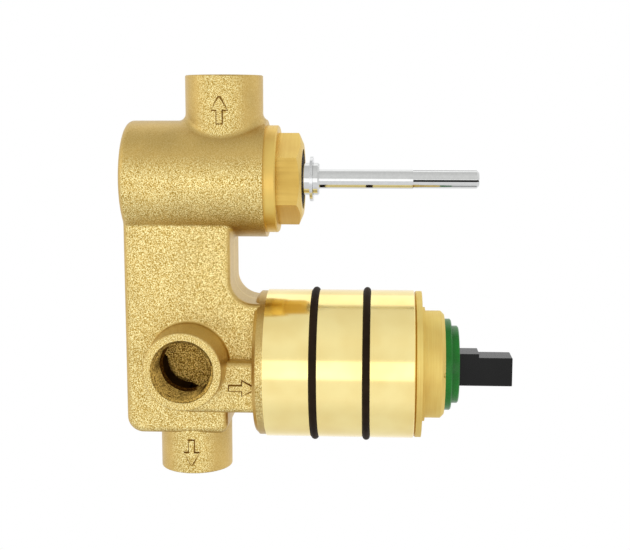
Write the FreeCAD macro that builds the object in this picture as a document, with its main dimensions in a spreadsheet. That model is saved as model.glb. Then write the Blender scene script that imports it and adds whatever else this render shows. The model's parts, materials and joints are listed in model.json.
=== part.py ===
import FreeCAD
import Part
import Sketcher
import os
import re

# Concealed shower mixer body with a pull diverter, in millimetres.
# Origin: centre of the spout outlet's mouth. +Z is up, +X points out of the wall, hot inlet at -Y.

SIZES = {
    # Clearances
    "fit_clear": 0.1,
    "slide_clear": 0.05,
    "run_clear": 0.3,
    # Casting: plate, neck and barrel
    "cartridge_height": 37.0,
    "diverter_rise": 63.8,
    "back_reach": 22.2,
    "plate_front": 13.9,
    "plate_foot": 12.5,
    "plate_thick": 25.8,
    "plate_drop": 22.7,
    "plate_corner": 5.5,
    "plate_edge": 1.8,
    "foot_round": 3.0,
    "back_edge": 2.4,
    "neck_top": 22.5,
    "neck_bottom": 14.0,
    "neck_round": 8.0,
    "barrel_radius": 19.7,
    "barrel_front": 25.6,
    "barrel_wall": 3.2,
    "crease_blend": 1.5,
    "facing_stock": 8.0,
    # Casting: ports and ribs
    "shower_x": 11.0,
    "shower_radius": 13.15,
    "shower_rise": 34.85,
    "shower_blend": 2.5,
    "spout_radius": 12.4,
    "inlet_back": 0.4,
    "inlet_rise": 2.3,
    "inlet_radius": 13.1,
    "inlet_draft": 1.3,
    "inlet_reach": 27.5,
    "inlet_blend": 1.0,
    "port_edge": 0.5,
    "port_thread_radius": 10.48,
    "port_thread_depth": 13.0,
    "rib_reach": 18.0,
    "rib_top": 3.7,
    "rib_start": 7.0,
    "rib_round": 8.0,
    "rib_edge": 2.0,
    # Casting: waterways
    "partition_wall": 1.3,
    "inlet_core": 8.6,
    "feed_inset": 0.5,
    "feed_drop": 4.5,
    "feed_radius": 3.8,
    "mixed_rise": 9.0,
    "mixed_radius": 3.8,
    "riser_radius": 4.2,
    "drop_inset": 4.5,
    "drop_radius": 4.0,
    "link_radius": 3.6,
    "link_rise": 7.7,
    "core_overrun": 1.0,
    "spout_core": 8.0,
    "shower_core": 5.5,
    # Turned housing
    "collar_back": 22.1,
    "collar_front": 25.7,
    "collar_radius": 25.0,
    "collar_edge": 1.2,
    "housing_radius": 25.5,
    "housing_front": 76.0,
    "housing_edge": 0.4,
    "trim_ring_back": 33.8,
    "trim_ring_front": 16.2,
    "trim_ring_section": 2.5,
    "trim_ring_proud": 0.95,
    # Cartridge nut
    "nut_lip_depth": 4.0,
    "nut_thread_wall": 2.9,
    "nut_skirt": 6.0,
    "nut_flange": 2.45,
    "nut_flange_step": 0.3,
    "nut_flange_edge": 0.5,
    "nut_shoulder": 1.15,
    "nut_shoulder_radius": 19.7,
    "nut_ring": 6.6,
    "nut_ring_radius": 18.5,
    "nut_ring_edge": 1.2,
    "nut_hole_radius": 0.9,
    "nut_hole_depth": 3.5,
    # Cartridge
    "cartridge_radius": 20.0,
    "base_thick": 6.0,
    "peg_radius": 2.0,
    "peg_length": 3.0,
    "peg_side": 13.5,
    "peg_rise": 6.5,
    "seal_wall": 1.8,
    "seal_thick": 1.6,
    "shell_body": 25.0,
    "shell_wall": 2.5,
    "shell_neck_radius": 15.75,
    "shell_neck_out": 12.55,
    "shell_tip_radius": 13.35,
    "shell_tip": 2.55,
    "shell_edge": 0.4,
    "fixed_disc_thick": 4.0,
    "moving_disc_thick": 5.0,
    "mixing_depth": 3.0,
    "mixing_radius": 8.5,
    "mixing_rise": 3.0,
    "carrier_radius": 12.0,
    "carrier_thick": 6.0,
    "carrier_floor": 1.0,
    "rotor_radius": 10.7,
    "rotor_flange": 4.0,
    "rotor_short": 1.2,
    "pivot_out": 4.0,
    "pivot_radius": 1.5,
    "lift_angle": 20.0,
    # Lever stem
    "stem_width": 9.9,
    "stem_bottom": 6.4,
    "stem_back_top": 4.7,
    "stem_front_top": 3.4,
    "stem_step_out": 22.1,
    "stem_front_out": 33.5,
    "stem_block_back": 1.0,
    "stem_hub": 4.4,
    "stem_hub_back": 6.0,
    "stem_edge": 0.35,
    "tail_half": 3.0,
    "ball_radius": 3.3,
    "ball_sink": 1.5,
    # Diverter bonnet and gland
    "bonnet_thread": 6.5,
    "bonnet_thread_radius": 15.0,
    "bonnet_flange": 4.0,
    "bonnet_flange_radius": 18.15,
    "bonnet_edge": 0.4,
    "hex_flats": 27.0,
    "hex_length": 8.2,
    "hex_bevel": 1.5,
    "hex_bevel_radius": 12.2,
    "recess_radius": 10.15,
    "recess_depth": 3.3,
    "gland_length": 6.5,
    "spring_pocket": 7.5,
    "bonnet_ring_section": 1.6,
    "sleeve_radius": 5.5,
    "sleeve_flange": 1.5,
    "sleeve_flange_radius": 7.2,
    "sleeve_out": 5.5,
    "sleeve_edge": 0.5,
    "clip_out": 2.4,
    "clip_thick": 1.0,
    "clip_radius": 7.6,
    "clip_band": 1.7,
    "clip_groove": 0.9,
    "clip_lug": 3.0,
    "clip_mouth": 8.0,
    "gland_ring_section": 1.2,
    "gland_ring_inset": 1.8,
    "rod_ring_section": 1.2,
    "rod_ring_spacing": 3.4,
    "dust_seal_thick": 2.9,
    "dust_seal_lip": 0.4,
    # Diverter works
    "diverter_travel": 8.0,
    "rear_chamber": 13.5,
    "rear_chamber_radius": 13.4,
    "cage_length": 12.0,
    "cage_wall": 2.5,
    "cage_bore": 7.0,
    "cage_waist": 2.0,
    "cage_window_radius": 2.5,
    "cage_ring_section": 1.6,
    "washer_thick": 1.5,
    "washer_radius": 9.2,
    "spindle_disc": 2.0,
    "washer_plate_thick": 0.8,
    "washer_nut_flats": 7.0,
    "stud_radius": 2.0,
    "rod_radius": 3.25,
    "rod_out": 59.4,
    "rod_edge": 0.8,
    "knob_seat_step": 0.2,
    "slot_length": 22.2,
    "slot_width": 0.7,
    "slot_roll": 6.0,
    "spring_radius": 5.6,
    "spring_wire": 1.0,
    "spring_turns": 5.0,
}

PLACES = {
    # Axes and outer faces
    "cartridge_z": "cartridge_height",
    "diverter_z": "cartridge_z + diverter_rise",
    "back_x": "-back_reach",
    "inlet_x": "-inlet_back",
    "inlet_z": "cartridge_z + inlet_rise",
    "plate_half": "plate_thick / 2",
    "inlet_root": "inlet_radius + inlet_draft",
    "inlet_foot": "inlet_radius + inlet_draft * (1 - plate_half / inlet_reach)",
    "plate_low": "cartridge_z - plate_drop",
    "neck_high": "cartridge_z + neck_top",
    "neck_low": "cartridge_z - neck_bottom",
    "neck_end": "(collar_back + collar_front) / 2",
    "shower_rim": "diverter_z + shower_rise",
    "rib_high": "cartridge_z + rib_top",
    "rib_back": "inlet_x - rib_start",
    # Cartridge stack along X
    "shoulder_x": "housing_front - nut_lip_depth",
    "base_top": "shoulder_x - shell_body",
    "floor_x": "base_top - base_thick",
    "chamber_radius": "cartridge_radius + fit_clear",
    "nut_thread_radius": "chamber_radius + nut_thread_wall",
    "skirt_back": "shoulder_x - nut_skirt",
    "skirt_relief": "skirt_back - run_clear",
    "nut_flange_front": "housing_front + nut_flange",
    "nut_shoulder_front": "nut_flange_front + nut_shoulder",
    "nut_front": "nut_shoulder_front + nut_ring",
    "nut_bore": "shell_neck_radius + fit_clear",
    "nut_hole_place": "(nut_bore + nut_ring_radius) / 2",
    "cavity_radius": "cartridge_radius - shell_wall",
    "fixed_front": "base_top + fixed_disc_thick",
    "moving_back": "fixed_front + fit_clear",
    "moving_front": "moving_back + moving_disc_thick",
    "carrier_front": "moving_front + carrier_thick",
    "rotor_back": "carrier_front + run_clear",
    "rotor_flange_front": "rotor_back + rotor_flange",
    "cavity_front": "rotor_flange_front + run_clear",
    "shell_neck_front": "housing_front + shell_neck_out",
    "shell_front": "shell_neck_front + shell_tip",
    "rotor_bore": "rotor_radius + slide_clear",
    "rotor_front": "shell_front - rotor_short",
    "pivot_x": "housing_front + pivot_out",
    "ball_x": "carrier_front - ball_sink",
    "lever_tail": "pivot_x - ball_x",
    "disc_stroke": "lever_tail * sin(lift_angle * 1 deg)",
    "disc_offset": "disc_stroke / 2",
    "moving_disc_radius": "cavity_radius - disc_offset - run_clear",
    # Lever stem along X
    "stem_block_x": "pivot_x + stem_hub + stem_block_back",
    "stem_step_x": "housing_front + stem_step_out",
    "stem_front_x": "housing_front + stem_front_out",
    "stem_hub_x": "pivot_x - stem_hub_back",
    "stem_half": "stem_width / 2",
    # Diverter bore and cage along X
    "bore_back": "back_x + barrel_wall",
    "cage_back": "bore_back + rear_chamber",
    "cage_front": "cage_back + cage_length",
    "riser_x": "(cage_back + cage_front) / 2",
    "drop_x": "bore_back + drop_inset",
    "link_z": "plate_low + link_rise",
    "mixed_z": "cartridge_z + mixed_rise",
    "riser_low": "mixed_z - mixed_radius - core_overrun",
    "drop_low": "link_z - link_radius - core_overrun",
    "spout_high": "link_z + link_radius + core_overrun",
    "feed_z": "cartridge_z - feed_drop",
    "partition_half": "riser_radius + partition_wall",
    "feed_side": "partition_half + feed_inset + feed_radius",
    "cage_radius": "bonnet_thread_radius",
    # Spindle stack along X
    "shower_washer_back": "cage_front + run_clear",
    "disc_back": "shower_washer_back + washer_thick",
    "disc_front": "disc_back + spindle_disc",
    "spout_washer_front": "cage_back - run_clear - diverter_travel",
    "spout_washer_back": "spout_washer_front - washer_thick",
    "washer_plate_back": "spout_washer_back - washer_plate_thick",
    "stud_back": "bore_back + run_clear",
    "rod_front": "bonnet_front + rod_out",
    "knob_seat_back": "rod_front - slot_length",
    "knob_seat_radius": "rod_radius - knob_seat_step",
    # Bonnet and gland along X
    "bonnet_back": "barrel_front - bonnet_thread",
    "bonnet_hex_back": "barrel_front + bonnet_flange",
    "bonnet_front": "bonnet_hex_back + hex_length",
    "recess_back": "bonnet_front - recess_depth",
    "gland_back": "recess_back - gland_length",
    "sleeve_back": "gland_back - sleeve_flange",
    "sleeve_front": "bonnet_front + sleeve_out",
    "sleeve_bore": "rod_radius + slide_clear",
    "clip_back": "bonnet_front + clip_out",
    "clip_front": "clip_back + clip_thick",
    "clip_seat": "sleeve_radius - clip_groove",
    "rod_ring_x": "recess_back + rod_ring_section",
    "gland_ring_x": "gland_back + gland_ring_inset",
    "bonnet_ring_x": "barrel_front - bonnet_ring_section",
}

X_AXIS = FreeCAD.Vector(1, 0, 0)
Y_AXIS = FreeCAD.Vector(0, 1, 0)
Z_AXIS = FreeCAD.Vector(0, 0, 1)
WHOLE_TURN = 360
QUARTER_TURN = 90
HEX_SIDES = 6
INLET_SIDES = (("hot", "-", FreeCAD.Vector(0, -1, 0)), ("cold", "", Y_AXIS))
NEAR = 1e-4

doc = FreeCAD.newDocument("shower_diverter_valve")


# Writes one sheet: a name beside each value, the value's cell carrying the name as its alias.
def fill_sheet(label, cells):
    sheet = doc.addObject("Spreadsheet::Sheet", label)
    for row, (name, content) in enumerate(cells.items(), start=1):
        sheet.set(f"A{row}", name)
        sheet.set(f"B{row}", content)
        sheet.setAlias(f"B{row}", name)
    return sheet


# Turns bare names in a formula into references to the two sheets.
def linked(formula):
    def owner(match):
        word = match.group(0)
        if word in SIZES:
            return f"Sizes.{word}"
        return f"Places.{word}" if word in PLACES else word

    return re.sub(r"[a-z_]+[a-z]", owner, formula)


sizes = fill_sheet("Sizes", {name: str(value) for name, value in SIZES.items()})
places = fill_sheet("Places", {name: "=" + linked(formula) for name, formula in PLACES.items()})
doc.recompute()

nodes = {}


def number(name):
    return sizes.get(name) if name in SIZES else places.get(name)


# The place that three names stand for, each of which may carry a minus sign or be zero.
def point(*names):
    return FreeCAD.Vector(*(sizes.evalExpression(linked(name)) for name in names))


def bind(thing, **formulas):
    for prop, formula in formulas.items():
        thing.setExpression(prop.replace("__", "."), linked(formula))


# Puts an object on a bound point, its own Z axis turned to the given direction.
def place(thing, x="0", y="0", z="0", along=Z_AXIS):
    thing.Placement = FreeCAD.Placement(FreeCAD.Vector(), FreeCAD.Rotation(Z_AXIS, along))
    bind(thing, Placement__Base__x=x, Placement__Base__y=y, Placement__Base__z=z)
    return thing


def cylinder(name, radius, length, x="0", y="0", z="0", along=Z_AXIS):
    rod = doc.addObject("Part::Cylinder", name)
    bind(rod, Radius=radius, Height=length)
    return place(rod, x, y, z, along)


def cone(name, back_radius, front_radius, length, x, y, z, along):
    taper = doc.addObject("Part::Cone", name)
    bind(taper, Radius1=back_radius, Radius2=front_radius, Height=length)
    return place(taper, x, y, z, along)


def box(name, low, high):
    block = doc.addObject("Part::Box", name)
    spans = [f"({top}) - ({bottom})" for bottom, top in zip(low, high)]
    bind(block, Length=spans[0], Width=spans[1], Height=spans[2])
    return place(block, *low)


def ring(name, mean_radius, section, x, z):
    torus = doc.addObject("Part::Torus", name)
    bind(torus, Radius1=mean_radius, Radius2=f"({section}) / 2")
    return place(torus, x, "0", z, X_AXIS)


def fused(name, shapes):
    union = doc.addObject("Part::MultiFuse", name)
    union.Shapes = shapes
    union.Refine = True
    return union


def cut(name, base, tool):
    rest = doc.addObject("Part::Cut", name)
    rest.Base = base
    rest.Tool = tool
    rest.Refine = True
    return rest


# Rounds the edges that the test picks.
def rounded(name, base, radius, picks):
    doc.recompute()
    fillet = doc.addObject("Part::Fillet", name)
    fillet.Base = base
    size = number(radius)
    fillet.Edges = [(i, size, size) for i, edge in enumerate(base.Shape.Edges, start=1) if picks(edge)]
    return fillet


def node(label, thing):
    thing.Label = label
    nodes[label] = thing
    return thing


def new_body(label, x="0", y="0", z="0"):
    body = doc.addObject("PartDesign::Body", label)
    bind(body, Placement__Base__x=x, Placement__Base__y=y, Placement__Base__z=z)
    return body


# Draws a closed outline on one of the body's own planes, both coordinates of each corner bound.
def outline(body, name, plane, corners):
    sketch = body.newObject("Sketcher::SketchObject", name)
    support = [feature for feature in body.Origin.OriginFeatures if feature.Role == plane][0]
    sketch.AttachmentSupport = [(support, "")]
    sketch.MapMode = "FlatFace"
    count = len(corners)
    starts = [FreeCAD.Vector(step, step * step + 1, 0) for step in range(1, count + 1)]
    for i in range(count):
        sketch.addGeometry(Part.LineSegment(starts[i], starts[(i + 1) % count]), False)
    for i in range(count):
        sketch.addConstraint(Sketcher.Constraint("Coincident", i, 2, (i + 1) % count, 1))
    for i, (across, up) in enumerate(corners):
        for kind, formula, start in (("DistanceX", across, starts[i].x), ("DistanceY", up, starts[i].y)):
            if formula == "0":
                axis = -2 if kind == "DistanceX" else -1
                sketch.addConstraint(Sketcher.Constraint("PointOnObject", i, 1, axis))
            else:
                row = sketch.addConstraint(Sketcher.Constraint(kind, -1, 1, i, 1, start))
                sketch.setExpression(f"Constraints[{row}]", linked(formula))
    return sketch


# Turns an outline of (axial, radial) corners about the body's X axis.
def turn(body, name, corners, kind="Revolution"):
    sketch = outline(body, name + "_outline", "XY_Plane", corners)
    feature = body.newObject("PartDesign::" + kind, name)
    feature.Profile = sketch
    feature.ReferenceAxis = (sketch, ["H_Axis"])
    feature.Angle = WHOLE_TURN
    return feature


def turned(label, z, corners):
    body = new_body(label, z=z)
    turn(body, label + "_turning", corners)
    return body


# Picks whole circles of one radius about the given centres.
def circles_at(radius, *centres):
    def picks(edge):
        if edge.Degenerated or not edge.isClosed() or not isinstance(edge.Curve, Part.Circle):
            return False
        near = any((edge.Curve.Center - centre).Length < NEAR for centre in centres)
        return near and abs(edge.Curve.Radius - number(radius)) < NEAR

    return picks


def flange_ring(back, front, outer, inner):
    return [(back, inner), (front, inner), (front, outer), (back, outer)]


# The plate and neck of the casting: one outline, rounded corners, then rounded rims.
def cast_plate():
    plate = new_body("cast_plate")
    corners = [
        ("back_x", "plate_low"),
        ("plate_foot", "plate_low"),
        ("plate_foot", "neck_low"),
        ("neck_end", "neck_low"),
        ("neck_end", "neck_high"),
        ("plate_front", "neck_high"),
        ("plate_front", "diverter_z"),
        ("back_x", "diverter_z"),
    ]
    pad = plate.newObject("PartDesign::Pad", "plate_pad")
    pad.Profile = outline(plate, "plate_outline", "XZ_Plane", corners)
    pad.Midplane = True
    bind(pad, Length="plate_thick")
    body_fillet(plate, "plate_back_corner", "plate_corner", edges_through("back_x", "plate_low"))
    body_fillet(plate, "plate_foot_corner", "foot_round", edges_through("plate_foot", "plate_low"))
    body_fillet(plate, "neck_corner", "neck_round", edges_through("plate_front", "neck_high"))
    half = number("plate_half")
    front = number("plate_front")
    neck_low = number("neck_low")

    def front_rims(edge):
        middle = edge.CenterOfMass
        flat = edge.BoundBox.YLength < NEAR and abs(abs(middle.y) - half) < NEAR
        return flat and middle.z > neck_low and abs(middle.x - front) < NEAR

    body_fillet(plate, "plate_front_rims", "plate_edge", front_rims)
    return plate


# Picks the edges across the plate at one corner of its outline.
def edges_through(x, z):
    def picks(edge):
        return all(abs(v.X - number(x)) + abs(v.Z - number(z)) < NEAR for v in edge.Vertexes)

    return picks


def body_fillet(body, name, radius, picks):
    doc.recompute()
    base = body.Tip
    fillet = body.newObject("PartDesign::Fillet", name)
    fillet.Base = (base, [f"Edge{i}" for i, edge in enumerate(base.Shape.Edges, start=1) if picks(edge)])
    bind(fillet, Radius=radius)
    body.Tip = fillet


# A rib on each side covers the waterway from its inlet to the cartridge.
def cast_rib():
    rib = box(
        "rib_block",
        ("rib_back", "-rib_reach", "neck_low"),
        ("neck_end", "rib_reach", "rib_high"),
    )
    low = number("neck_low")
    back = number("rib_back")

    def heel(edge):
        return all(abs(v.X - back) + abs(v.Z - low) < NEAR for v in edge.Vertexes)

    heeled = rounded("rib_heel", rib, "rib_round", heel)
    reach = number("rib_reach")

    def rims(edge):
        return edge.BoundBox.YLength < NEAR and abs(abs(edge.CenterOfMass.y) - reach) < NEAR

    return rounded("rib", heeled, "rib_edge", rims)


# The barrel and its shower boss, blended with stock at the bonnet's seat, then faced off there.
def cast_barrel():
    barrel = cylinder(
        "barrel_core", "barrel_radius", "barrel_front + facing_stock - back_x",
        "back_x", z="diverter_z", along=X_AXIS,
    )
    boss = cylinder("shower_boss", "shower_radius", "shower_rise", "shower_x", z="diverter_z")
    rim = number("shower_rim")
    axis = number("diverter_z")

    def junction(edge):
        return edge.BoundBox.ZMin > axis and edge.BoundBox.ZMax < rim - NEAR and edge.BoundBox.YLength > NEAR

    blended = rounded("shower_blending", fused("barrel_and_boss", [barrel, boss]), "shower_blend", junction)
    reach = "(barrel_radius + shower_radius)"
    stock = box(
        "bonnet_stock",
        ("barrel_front", f"-{reach}", f"diverter_z - {reach}"),
        ("barrel_front + facing_stock", reach, f"diverter_z + {reach}"),
    )
    return cut("barrel_faced", blended, stock)


# Plate and barrel meet in a soft crease; one soft rim then runs round the back.
def cast_trunk():
    trunk = fused("plate_and_barrel", [cast_plate(), cast_barrel()])
    half = number("plate_half")
    front = number("plate_front")
    back = number("back_x")
    axis = number("diverter_z")
    low = axis - number("barrel_radius")

    def crease(edge):
        reach = edge.BoundBox
        beside = abs(abs(edge.CenterOfMass.y) - half) < NEAR and reach.XLength > number("plate_corner")
        return reach.ZLength < NEAR and beside and low < reach.ZMin < axis

    def back_rim(edge):
        return edge.BoundBox.XLength < NEAR and abs(edge.BoundBox.XMin - back) < NEAR

    creased = rounded("trunk_creased", trunk, "crease_blend", crease)
    return rounded("trunk", creased, "back_edge", back_rim)


def cast_outside():
    inlets = [
        cone(f"{side}_boss", "inlet_root", "inlet_radius", "inlet_reach", "inlet_x", "0", "inlet_z", out)
        for side, _, out in INLET_SIDES
    ]
    roots = (point("inlet_x", y, "inlet_z") for y in ("-plate_half", "plate_half"))
    feet = circles_at("inlet_foot", *roots)
    trunk = rounded("inlet_blending", fused("trunk_and_inlets", [cast_trunk(), *inlets]), "inlet_blend", feet)
    spout = cylinder("spout_boss", "spout_radius", "plate_low + back_edge")
    housing = turned(
        "housing_turning",
        "cartridge_z",
        [
            ("collar_back", "0"),
            ("housing_front", "0"),
            ("housing_front", "housing_radius - housing_edge"),
            ("housing_front - housing_edge", "housing_radius"),
            ("collar_front", "housing_radius"),
            ("collar_front", "collar_radius"),
            ("collar_back + collar_edge", "collar_radius"),
            ("collar_back", "collar_radius - collar_edge"),
        ],
    )
    whole = fused("cast_whole", [trunk, spout, cast_rib(), housing])
    ends = (point("inlet_x", y, "inlet_z") for y in ("-inlet_reach", "inlet_reach"))
    mouths = (
        ("shower", circles_at("shower_radius", point("shower_x", "0", "shower_rim"))),
        ("spout", circles_at("spout_radius", point("0", "0", "0"))),
        ("inlet", circles_at("inlet_radius", *ends)),
    )
    for name, mouth in mouths:
        whole = rounded(name + "_mouth_eased", whole, "port_edge", mouth)
    return whole


# Waterways and turned bores, taken out of the casting together.
def cast_cores():
    cores = []
    for side, sign, out in INLET_SIDES:
        thread_start = "inlet_reach - port_thread_depth"
        cores += [
            cylinder(
                f"{side}_core", "inlet_core", f"{thread_start} - partition_half",
                "inlet_x", f"{sign}partition_half", "inlet_z", out,
            ),
            cylinder(
                f"{side}_thread", "port_thread_radius", "port_thread_depth",
                "inlet_x", f"{sign}({thread_start})", "inlet_z", out,
            ),
            cylinder(
                f"{side}_feed", "feed_radius", "floor_x - inlet_x",
                "inlet_x", f"{sign}feed_side", "feed_z", X_AXIS,
            ),
            cylinder(
                f"{side}_peg_hole", "peg_radius + fit_clear", "peg_length + run_clear",
                "floor_x - peg_length - run_clear", f"{sign}peg_side", "cartridge_z + peg_rise", X_AXIS,
            ),
        ]
    cores += [
        cylinder("mixed_core", "mixed_radius", "floor_x - riser_x", "riser_x", z="mixed_z", along=X_AXIS),
        cylinder(
            "riser_core", "riser_radius", "diverter_z - riser_low",
            "riser_x", z="riser_low",
        ),
        cylinder(
            "drop_core", "drop_radius", "diverter_z - drop_low",
            "drop_x", z="drop_low",
        ),
        cylinder("link_core", "link_radius", "-drop_x", "drop_x", z="link_z", along=X_AXIS),
        cylinder("spout_core_bore", "spout_core", "spout_high - port_thread_depth", z="port_thread_depth"),
        cylinder("spout_thread", "port_thread_radius", "port_thread_depth"),
        cylinder("shower_core_bore", "shower_core", "shower_rise", "shower_x", z="diverter_z"),
        cylinder(
            "shower_thread", "port_thread_radius", "port_thread_depth",
            "shower_x", z="shower_rim - port_thread_depth",
        ),
        turned(
            "diverter_bore",
            "diverter_z",
            [
                ("bore_back", "0"),
                ("barrel_front", "0"),
                ("barrel_front", "bonnet_thread_radius + fit_clear"),
                ("cage_back", "bonnet_thread_radius + fit_clear"),
                ("cage_back", "rear_chamber_radius"),
                ("bore_back", "rear_chamber_radius"),
            ],
        ),
        turned(
            "cartridge_chamber",
            "cartridge_z",
            [
                ("floor_x", "0"),
                ("housing_front", "0"),
                ("housing_front", "nut_thread_radius"),
                ("skirt_relief", "nut_thread_radius"),
                ("skirt_relief", "chamber_radius"),
                ("floor_x", "chamber_radius"),
            ],
        ),
    ]
    for end in ("back", "front"):
        centre = f"housing_front - trim_ring_{end}"
        half = "(trim_ring_section / 2 + fit_clear)"
        floor = "housing_radius + trim_ring_proud - trim_ring_section - fit_clear"
        groove = flange_ring(f"{centre} - {half}", f"{centre} + {half}", "housing_radius + run_clear", floor)
        cores.append(turned(f"trim_groove_{end}", "cartridge_z", groove))
    return fused("cast_cores", cores)


def valve_body():
    outside = cast_outside()
    node("valve_body", cut("casting", outside, cast_cores()))
    ring_middle = "housing_radius + trim_ring_proud - trim_ring_section / 2"
    for end in ("back", "front"):
        seat = f"housing_front - trim_ring_{end}"
        torus = ring(f"trim_ring_{end}_torus", ring_middle, "trim_ring_section", seat, "cartridge_z")
        node(f"trim_o_ring_{end}", torus)


def cartridge_nut():
    nut = turned(
        "nut_turning",
        "cartridge_z",
        [
            ("skirt_back", "chamber_radius"),
            ("shoulder_x", "chamber_radius"),
            ("shoulder_x", "nut_bore"),
            ("nut_front", "nut_bore"),
            ("nut_front", "nut_ring_radius - nut_ring_edge"),
            ("nut_front - nut_ring_edge", "nut_ring_radius"),
            ("nut_shoulder_front", "nut_ring_radius"),
            ("nut_shoulder_front", "nut_shoulder_radius"),
            ("nut_flange_front", "nut_shoulder_radius"),
            ("nut_flange_front", "housing_radius - nut_flange_step"),
            ("housing_front + nut_flange_edge", "housing_radius - nut_flange_step"),
            ("housing_front", "housing_radius - nut_flange_step - nut_flange_edge"),
            ("housing_front", "nut_thread_radius - fit_clear"),
            ("skirt_back", "nut_thread_radius - fit_clear"),
        ],
    )
    holes = [
        cylinder(
            f"nut_hole_{name}", "nut_hole_radius", "nut_hole_depth + fit_clear",
            "nut_front - nut_hole_depth", f"{sign}nut_hole_place", "cartridge_z", X_AXIS,
        )
        for name, sign in (("near", "-"), ("far", ""))
    ]
    node("cartridge_nut", cut("nut_drilled", nut, fused("nut_holes", holes)))


# Port centres on the cartridge's base: offsets from its axis in Y and Z, and the waterway's radius.
BASE_PORTS = {
    "hot": ("-feed_side", "-feed_drop", "feed_radius"),
    "cold": ("feed_side", "-feed_drop", "feed_radius"),
    "outlet": ("0", "mixed_rise", "mixed_radius"),
}


def port_drills(stage, start, length, extra):
    return [
        cylinder(
            f"{stage}_{name}", f"{radius} + {extra}", length, start, y, f"cartridge_z + ({rise})", X_AXIS,
        )
        for name, (y, rise, radius) in BASE_PORTS.items()
    ]


def cartridge_base():
    disc = cylinder("base_disc", "cartridge_radius", "base_thick", "floor_x", z="cartridge_z", along=X_AXIS)
    pegs = [
        cylinder(
            f"base_peg_{name}", "peg_radius", "peg_length + base_thick / 2",
            "floor_x - peg_length", f"{sign}peg_side", "cartridge_z + peg_rise", X_AXIS,
        )
        for name, sign in (("hot", "-"), ("cold", ""))
    ]
    drills = port_drills("base_port", "floor_x", "base_thick", "0")
    seats = port_drills("base_seat", "floor_x", "seal_thick", "seal_wall + fit_clear")
    solid = fused("base_pegged", [disc] + pegs)
    node("cartridge_base", cut("base_drilled", solid, fused("base_cuts", drills + seats)))
    outers = port_drills("seal_outer", "floor_x", "seal_thick", "seal_wall")
    inners = port_drills("seal_inner", "floor_x", "seal_thick", "fit_clear")
    for name, outer, inner in zip(BASE_PORTS, outers, inners):
        node(f"{name}_port_seal", cut(f"seal_{name}", outer, inner))


def ceramic_discs():
    fixed = cylinder(
        "fixed_blank", "cavity_radius - fit_clear", "fixed_disc_thick",
        "base_top", z="cartridge_z", along=X_AXIS,
    )
    ports = port_drills("fixed_port", "base_top", "fixed_disc_thick", "0")
    node("fixed_disc", cut("fixed_drilled", fixed, fused("fixed_ports", ports)))
    moving_z = "cartridge_z + disc_offset"
    moving = cylinder(
        "moving_blank", "moving_disc_radius", "moving_disc_thick", "moving_back", z=moving_z, along=X_AXIS,
    )
    mixing = cylinder(
        "mixing_hollow", "mixing_radius", "mixing_depth",
        "moving_back", z=f"{moving_z} + mixing_rise", along=X_AXIS,
    )
    node("moving_disc", cut("moving_hollowed", moving, mixing))
    carrier = cylinder(
        "carrier_blank", "carrier_radius", "carrier_thick", "moving_front", z=moving_z, along=X_AXIS,
    )
    gap = "(ball_radius + run_clear)"
    channel = box(
        "carrier_channel",
        ("moving_front + carrier_floor", "-carrier_radius", f"cartridge_z - {gap}"),
        ("carrier_front", "carrier_radius", f"cartridge_z + {gap}"),
    )
    node("disc_carrier", cut("carrier_slotted", carrier, channel))


def cartridge_shell():
    shell = turned(
        "shell_turning",
        "cartridge_z",
        [
            ("base_top", "cavity_radius"),
            ("cavity_front", "cavity_radius"),
            ("cavity_front", "rotor_bore"),
            ("shell_front", "rotor_bore"),
            ("shell_front", "shell_tip_radius - shell_edge"),
            ("shell_front - shell_edge", "shell_tip_radius"),
            ("shell_neck_front", "shell_tip_radius"),
            ("shell_neck_front", "shell_neck_radius - shell_edge"),
            ("shell_neck_front - shell_edge", "shell_neck_radius"),
            ("shoulder_x", "shell_neck_radius"),
            ("shoulder_x", "cartridge_radius"),
            ("base_top", "cartridge_radius"),
        ],
    )
    node("cartridge_shell", shell)


# The rotor is two cheeks on a flange, with a window for the stem's tail and a cross hole for the pin.
def lever_rotor():
    rotor = turned(
        "rotor_turning",
        "cartridge_z",
        [
            ("rotor_back", "0"),
            ("rotor_front", "0"),
            ("rotor_front", "rotor_radius"),
            ("rotor_flange_front", "rotor_radius"),
            ("rotor_flange_front", "cavity_radius - run_clear"),
            ("rotor_back", "cavity_radius - run_clear"),
        ],
    )
    slot = box(
        "rotor_slot",
        ("rotor_flange_front", "-(stem_half + run_clear)", "cartridge_z - rotor_radius"),
        ("rotor_front", "stem_half + run_clear", "cartridge_z + rotor_radius"),
    )
    reach = "(disc_stroke + ball_radius + run_clear * 2)"
    window = box(
        "rotor_window",
        ("rotor_back", "-(ball_radius + run_clear)", f"cartridge_z - {reach}"),
        ("rotor_flange_front", "ball_radius + run_clear", f"cartridge_z + {reach}"),
    )
    pin_hole = cylinder(
        "rotor_pin_hole", "pivot_radius + slide_clear", "rotor_radius * 2",
        "pivot_x", "-rotor_radius", "cartridge_z", Y_AXIS,
    )
    node("lever_rotor", cut("rotor_slotted", rotor, fused("rotor_cuts", [slot, window, pin_hole])))
    half = "(rotor_radius - run_clear * 2)"
    pin = cylinder("pin_rod", "pivot_radius", f"{half} * 2", "pivot_x", f"-{half}", "cartridge_z", Y_AXIS)
    node("pivot_pin", pin)


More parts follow.
